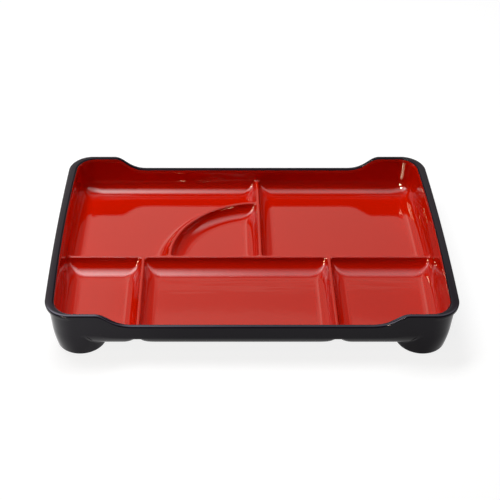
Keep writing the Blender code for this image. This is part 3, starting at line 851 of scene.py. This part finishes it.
def make_case():
    """Inside, underside, rim, lip and outer wall of the black case."""
    inside = nested(NEST, RIDGE_Z - NEST - RIB_RELIEF, CHANNEL_ROUND)
    inside_points, inside_faces = surface_net(inside, RIM_EDGE, HIDDEN_COVE_STEPS, HIDDEN_TOP_RINGS)
    under_points, under_faces = surface_net(UNDERSIDE, LIP_HEIGHT + LIP_SLOPE, UNDER_STEPS, UNDER_STEPS)
    inner = bow_points(rim_loop(inside.walls, RIM_EDGE), TRAY_SIDE_BOW)
    t = np.linspace(0, 1, LIP_STEPS + 1)
    reach = LIP_REACH * (1 - t * t * (3 - 2 * t))
    below = LIP_HEIGHT + LIP_SLOPE * t
    straight = np.linspace(RIM_EDGE, LIP_HEIGHT, RIM_SIDE_STEPS + 1)[:-1]
    lip_loops = []
    for stand, depth in zip(np.append(0 * straight + LIP_REACH, reach), np.append(straight, below)):
        loop = rim_loop((HALF_WIDTH - LIP_REACH + stand, HALF_DEPTH, CORNER_RADIUS), depth)
        lip_loops.append(bow_points(loop, SIDE_BOW))
    way = outward(lip_loops[0], HALF_WIDTH, HALF_DEPTH, CORNER_RADIUS)
    side_share = way[:, 0] ** 2
    front_share = np.clip(-way[:, 1], 0, 1) ** 2
    rear_share = np.clip(way[:, 1], 0, 1) ** 2
    inner_round = END_INNER_ROUND + (SIDE_ROUND - END_INNER_ROUND) * side_share
    outer_round = SIDE_ROUND + (END_ROUND - SIDE_ROUND) * front_share + (REAR_ROUND - SIDE_ROUND) * rear_share
    rise = np.full(len(inner), RIM_EDGE)
    rings = rim_strip(inner, lip_loops[0], way, quarter_round(inner_round, rise),
                      quarter_round(outer_round, rise, LIP_ROUND_STEPS))
    inside_net = (bow_points(inside_points, TRAY_SIDE_BOW), inside_faces)
    under_net = (bow_points(under_points, SIDE_BOW), under_faces)
    points, faces = join_shell(inside_net, under_net, rings + lip_loops[1:])
    return shell_object("lacquered_case", points, faces, black_lacquer)


case = make_case()
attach(case, "case")
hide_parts("outer_case")

# %% [markdown]
# Each foot is a short ring, hollow from below, that grows out of the case's underside. Where it stands
# free, its side ends in a small fillet. Towards the corner of the box its side swells out to the case's own
# wall and goes on up it a little way, a hair's breadth proud, so the foot and the wall are one flush face.
# Between the two the foot turns from the one form to the other.

# %% The feet
FOOT_RADIUS = 22.2 * MM
FOOT_WALL = 5.0 * MM
FOOT_EDGE = 1.8 * MM
FOOT_DRAFT = 0.03
FOOT_SIDE_INSET = 30.2 * MM
FOOT_END_INSET = 25.2 * MM
FOOT_FILLET = 1.8 * MM
FOOT_FILLET_RISE = 3.0 * MM
FOOT_SINK = 0.5 * MM
FOOT_SWELL = 0.02 * MM
SWELL_START_SHARE = 0.25
FLUSH_TURN = 48
FREE_TURN = 80
FLUSH_SHARE = 1.55
FLUSH_STRAIGHT = (FLUSH_SHARE - 1) * SKIRT_ROUND
FLUSH_Z = SKIRT_Z + FLUSH_SHARE * SKIRT_ROUND
FLUSH_HALVINGS = 16
WALL_REACH = 14.0 * MM
WALL_SEARCH_STEPS = 59
FOOT_TURN_STEPS = 128
FOOT_EDGE_STEPS = 8
FOOT_SIDE_STEPS = 30
FOOT_TOP_STEPS = 11
FOOT_HOLLOW_STEPS = 5
SHARP_TURN = 50


def under_height(x, y):
    """Height of the case's underside at a place that is already bowed."""
    return height(2 * x - bowed(x, y, SIDE_BOW), y, UNDERSIDE)


def wall_room(under, radius):
    """How far past a radius the case's wall comes down to FLUSH_Z: a coarse search, then halvings."""
    reaches = np.linspace(0, WALL_REACH, WALL_SEARCH_STEPS + 1)
    inside = np.array([under(radius + reach) < FLUSH_Z for reach in reaches])
    room = reaches[np.clip(np.cumprod(inside, axis=0).sum(axis=0) - 1, 0, None)]
    step = reaches[1] / 2
    for _ in range(FLUSH_HALVINGS):
        room = np.where(under(radius + room + step) < FLUSH_Z, room + step, room)
        step = step / 2
    return room


def side_rings(top, meet, near):
    """Radius and height of the rings up the outside. The flush side is at distance d below its top:
    top - draft d - bulge (d - straight)^2. The free side ends in an elliptic fillet."""
    rings = []
    for angle in np.linspace(0, math.pi / 2, FOOT_EDGE_STEPS + 1):
        rings.append((FOOT_RADIUS - FOOT_EDGE * (1 - math.sin(angle)), FOOT_EDGE * (1 - math.cos(angle))))
    rise = meet - FOOT_EDGE
    bulge = (top - FOOT_RADIUS - WALL_DRAFT * rise) / (rise - FLUSH_STRAIGHT) ** 2
    for share in np.linspace(0, 1, FOOT_SIDE_STEPS + 1)[1:]:
        level = FOOT_EDGE + rise * share
        left = meet - level
        flush = top - WALL_DRAFT * left - bulge * np.clip(left - FLUSH_STRAIGHT, 0, None) ** 2
        flush += FOOT_SWELL * min((1 - share) / SWELL_START_SHARE, 1)
        lack = np.clip(1 - left / FOOT_FILLET_RISE, 0, 1)
        free = FOOT_RADIUS + FOOT_DRAFT * level + FOOT_FILLET * (1 - np.sqrt(1 - lack ** 2))
        rings.append((near * flush + (1 - near) * free, level))
    return rings


def hollow_rings(under, rim_radius):
    """Radius and height of the rings that go back inside the case's wall and down the hollow."""
    inner = FOOT_RADIUS - FOOT_WALL
    rings = []
    for share in np.linspace(0, 1, FOOT_TOP_STEPS + 1):
        radius = rim_radius * (1 - share) + (inner - FOOT_DRAFT * FLOOR_Z) * share
        rings.append((radius, under(radius) + FOOT_SINK))
    last = rings[-1]
    for share in np.linspace(0, 1, FOOT_HOLLOW_STEPS + 1)[1:]:
        rings.append((last[0] + (inner - last[0]) * share, last[1] * (1 - share)))
    return rings


def make_foot(name, side, end):
    """A turned ring: bottom edge, side, then back through the case's wall and down inside."""
    centre = np.array([side * (HALF_WIDTH - FOOT_SIDE_INSET), end * (HALF_DEPTH - FOOT_END_INSET)])
    turn = np.linspace(0, 2 * math.pi, FOOT_TURN_STEPS, endpoint=False)
    way = np.stack([np.cos(turn), np.sin(turn)], axis=1)

    def under(radius):
        return under_height(centre[0] + way[:, 0] * radius, centre[1] + way[:, 1] * radius)

    from_corner = np.degrees(np.arccos(np.clip(way @ np.array([side, end]) / math.sqrt(2), -1, 1)))
    near = np.clip((FREE_TURN - from_corner) / (FREE_TURN - FLUSH_TURN), 0, 1)
    near = near * near * (3 - 2 * near)
    drafted = FOOT_RADIUS + FOOT_DRAFT * SKIRT_Z
    top = drafted + near * wall_room(under, drafted) + (1 - near) * FOOT_FILLET
    rings = side_rings(top, under(top), near)
    rings += hollow_rings(under, rings[-1][0])
    points = []
    for radius, level in rings:
        radius, level = np.broadcast_to(radius, turn.shape), np.broadcast_to(level, turn.shape)
        points.append(np.column_stack([centre + way * radius[:, None], level]))
    points.append(points[0])
    faces = strip_faces(len(points), FOOT_TURN_STEPS, 0)
    foot = shell_object(name, np.concatenate(points), faces, black_lacquer)
    foot.data.set_sharp_from_angle(angle=math.radians(SHARP_TURN))
    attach(foot, "case")
    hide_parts("outer_case")


for end, place in ((-1, "front"), (1, "rear")):
    for side, hand in ((-1, "left"), (1, "right")):
        make_foot(f"foot_{place}_{hand}", side, end)

# %% [markdown]
# The camera stands in front of the box and a little to its left, and looks down at it by about 39 degrees
# through a longish lens. A small shift sets the box off the middle of the picture.

# %% Camera
SENSOR_WIDTH = 36.0
LENS = 78.86
SHIFT_SHARES = (0.0625, -0.0073)
CAMERA_X = -0.02861
CAMERA_Y = -0.80669
CAMERA_OVER_RIM = 0.62461
CAMERA_DIP = 0.6744

camera_data = bpy.data.cameras.new("camera")
camera_data.sensor_width = SENSOR_WIDTH
camera_data.lens = LENS
camera_data.shift_x, camera_data.shift_y = SHIFT_SHARES
camera = placed("camera", camera_data)
camera.location = (CAMERA_X, CAMERA_Y, RIM_Z + CAMERA_OVER_RIM)
camera.rotation_euler = (math.pi / 2 - CAMERA_DIP, 0, 0)
bpy.context.scene.camera = camera
print("camera at", [round(value, 3) for value in camera.location])

# %% [markdown]
# The table is a plain pale sheet that glows a little for the camera, so that it comes out white and still
# takes the box's shadow. Gloss sees the same glow, stronger to the left of the box than to the right.

# %% The table
TABLE_Z = -0.2 * MM
TABLE_REACH = 4.0
TABLE_COLOUR = "#7C7C7C"
TABLE_ROUGHNESS = 0.9
TABLE_GLOW = 0.84
TABLE_GLOSS_SHARES = (1.2, 0.62)
TABLE_TURNOVER = (-0.19, -0.05)


def sheet(name, low, high, z, material):
    """A level rectangle between two corners."""
    mesh = bpy.data.meshes.new(name)
    corners = [(low[0], low[1], z), (high[0], low[1], z), (high[0], high[1], z), (low[0], high[1], z)]
    mesh.from_pydata(corners, [], [(0, 1, 2, 3)])
    mesh.materials.append(material)
    return placed(name, mesh)


material, tree, shader = new_material("white_table")
shader.inputs["Base Color"].default_value = linear(TABLE_COLOUR)
shader.inputs["Roughness"].default_value = TABLE_ROUGHNESS
shader.inputs["Emission Color"].default_value = WHITE
seen, gloss = ray_kinds(tree)
gloss = graded(tree, gloss, (axes(tree, "Object")["X"], *TABLE_TURNOVER, *TABLE_GLOSS_SHARES))
glow = combined(tree, "MULTIPLY", combined(tree, "MAXIMUM", seen, gloss), TABLE_GLOW)
tree.links.new(glow, shader.inputs["Emission Strength"])
floor = sheet("floor", (-TABLE_REACH, -TABLE_REACH), (TABLE_REACH, TABLE_REACH), TABLE_Z, material)
print("table at", TABLE_Z, "glow", TABLE_GLOW)

# %% [markdown]
# What a gloss surface shows is the room. This studio has a white backdrop behind the table, a large soft
# box overhead and a dark room behind the camera. The world holds the backdrop and the room, and only gloss
# sees them: the camera sees plain white, and the rest sees a weak ambient light. The backdrop is brighter
# to the left, fades to its sides and top, and has a dim band, where its paper is joined.

# %% The studio's world
BACKDROP_LEVEL = 1.3
BACKDROP_COLOUR = "#FFFAF0"
BACKDROP_TOP = math.sin(math.radians(50))
BACKDROP_FADE = math.sin(math.radians(58))
BACKDROP_START = (-0.1, 0.3)
BACKDROP_FALL = (-0.3, 0.45)
BACKDROP_RIGHT_SHARE = 0.45
BACKDROP_STEP = (-0.17, -0.13)
BACKDROP_LEFT_SHARE = 1.3
BACKDROP_SIDES = (0.22, 0.34)
BACKDROP_WING_SHARE = 0.35
GAP_LOW = (math.sin(math.radians(39.5)), math.sin(math.radians(39.9)))
GAP_HIGH = (math.sin(math.radians(41.9)), math.sin(math.radians(42.1)))
GAP_SHARE = 0.34
GAP_LEFT = (-0.12, -0.04)
ROOM_LEVEL = 0.02
AMBIENT_LEVEL = 0.03

world = bpy.data.worlds.new("studio")
world.use_nodes = True
bpy.context.scene.world = world
tree = world.node_tree
right, back, up = axes(tree, "Generated")
aside = combined(tree, "ABSOLUTE", right, 0.0)
backdrop = graded(tree, ramp(tree, up, BACKDROP_TOP, BACKDROP_FADE, BACKDROP_LEVEL, 0),
                  (back, *BACKDROP_START, 0, 1), (right, *BACKDROP_FALL, 1, BACKDROP_RIGHT_SHARE),
                  (right, *BACKDROP_STEP, BACKDROP_LEFT_SHARE, 1),
                  (aside, *BACKDROP_SIDES, 1, BACKDROP_WING_SHARE))
gap = graded(tree, ramp(tree, up, *GAP_LOW, 0, GAP_SHARE), (up, *GAP_HIGH, 1, 0), (right, *GAP_LEFT, 0, 1))
backdrop = combined(tree, "MULTIPLY", backdrop, combined(tree, "SUBTRACT", 1.0, gap))
mirrored = combined(tree, "ADD", backdrop, ROOM_LEVEL)
seen, gloss = ray_kinds(tree)
not_gloss, unseen = (combined(tree, "SUBTRACT", 1.0, kind) for kind in (gloss, seen))
hidden = combined(tree, "ADD", combined(tree, "MULTIPLY", gloss, mirrored),
                  combined(tree, "MULTIPLY", not_gloss, AMBIENT_LEVEL))
strength = combined(tree, "MAXIMUM", seen, combined(tree, "MULTIPLY", hidden, unseen))
background = tree.nodes["Background"]
tree.links.new(strength, background.inputs["Strength"])
tint = add_node(tree, "ShaderNodeMix", {"data_type": "RGBA"}, {6: WHITE, 7: linear(BACKDROP_COLOUR)},
                {"Factor": combined(tree, "MULTIPLY", gloss, unseen)})
tree.links.new(tint.outputs[2], background.inputs["Color"])
print("world", world.name, "nodes", len(tree.nodes))

# %% [markdown]
# The soft box is what draws the bright lines along the coves. It is a glowing sheet over the tray that only
# gloss can see. A lamp's mirror image has a hard edge, and this one fades out on all four sides. It adds
# its glow to a clear sheet, so that it hides nothing of the backdrop.

# %% The soft box
BOX_COLOUR = "#F4F6FF"
BOX_Z = 0.28
BOX_LEFT_LEVEL = 9.4
BOX_RIGHT_LEVEL = 2.8
BOX_TURNOVER = (-0.22, 0.06)
BOX_HALF_WIDTH = 0.42
BOX_EDGE = 0.1
BOX_FRONT = (-0.115, 0.07)
BOX_BACK = (0.06, 0.17)

material, tree, _ = new_material("soft_box_cloth")
tree.nodes.clear()
x, y, _ = axes(tree, "Object")
level = graded(tree, ramp(tree, x, *BOX_TURNOVER, BOX_LEFT_LEVEL, BOX_RIGHT_LEVEL),
               (y, *BOX_FRONT, 0, 1), (y, *BOX_BACK, 1, 0),
               (x, -BOX_HALF_WIDTH, BOX_EDGE - BOX_HALF_WIDTH, 0, 1),
               (x, BOX_HALF_WIDTH - BOX_EDGE, BOX_HALF_WIDTH, 1, 0))
glow = add_node(tree, "ShaderNodeEmission", values={"Color": linear(BOX_COLOUR)}, links={"Strength": level})
clear = add_node(tree, "ShaderNodeBsdfTransparent")
both = add_node(tree, "ShaderNodeAddShader", links={0: glow.outputs["Emission"], 1: clear.outputs["BSDF"]})
add_node(tree, "ShaderNodeOutputMaterial", links={"Surface": both.outputs["Shader"]})
box = sheet("soft_box", (-BOX_HALF_WIDTH, BOX_FRONT[0]), (BOX_HALF_WIDTH, BOX_BACK[1]), BOX_Z, material)
for kind in ("camera", "diffuse", "transmission", "volume_scatter", "shadow"):
    setattr(box, f"visible_{kind}", False)
print("soft box at", BOX_Z, "levels", BOX_LEFT_LEVEL, BOX_RIGHT_LEVEL)

# %% [markdown]
# One lamp lights the colours, from above and behind. Its own mirror image stays hidden, because the soft
# box stands for it. Four small windows do the opposite: only gloss sees them, as the warm glints in the
# corners of the wells.

# %% Lamps
LAMP_PLACE = (-0.24, 0.3, 1.08)
LAMP_SIZE = (0.8, 0.32)
LAMP_POWER = 14.3
WINDOW_COLOUR = "#FFE9C8"
WINDOWS = {
    "low_window": {"place": (-0.6, -1.2, 0.68), "size": 0.2, "power": 12},
    "high_window": {"place": (-0.55, -0.38, 0.9), "size": 0.12, "power": 7},
    "near_window": {"place": (-0.45, -0.6, 0.45), "size": 0.1, "power": 1.5},
    "far_window": {"place": (-1.38, -2.2, 1.63), "size": 0.3, "power": 22},
}


def soft_light(name, place, size, power, colour="#FFFFFF"):
    """A rectangular lamp at a place, turned to the middle of the table."""
    data = bpy.data.lights.new(name, "AREA")
    data.shape = "RECTANGLE"
    data.size, data.size_y = size
    data.energy = power
    data.color = linear(colour)[:3]
    lamp = placed(name, data)
    lamp.location = place
    lamp.rotation_euler = (-Vector(place)).to_track_quat("-Z", "Y").to_euler()
    print("lamp", name, power)
    return lamp


overhead = soft_light("overhead", LAMP_PLACE, LAMP_SIZE, LAMP_POWER)
overhead.visible_glossy = False
for name, window in WINDOWS.items():
    lamp = soft_light(name, window["place"], (window["size"], window["size"]), window["power"], WINDOW_COLOUR)
    lamp.visible_diffuse = False
    lamp.visible_camera = False

# %% [markdown]
# The picture shows colours as they are written, with no film curve.

# %% View
bpy.context.scene.view_settings.view_transform = "Standard"
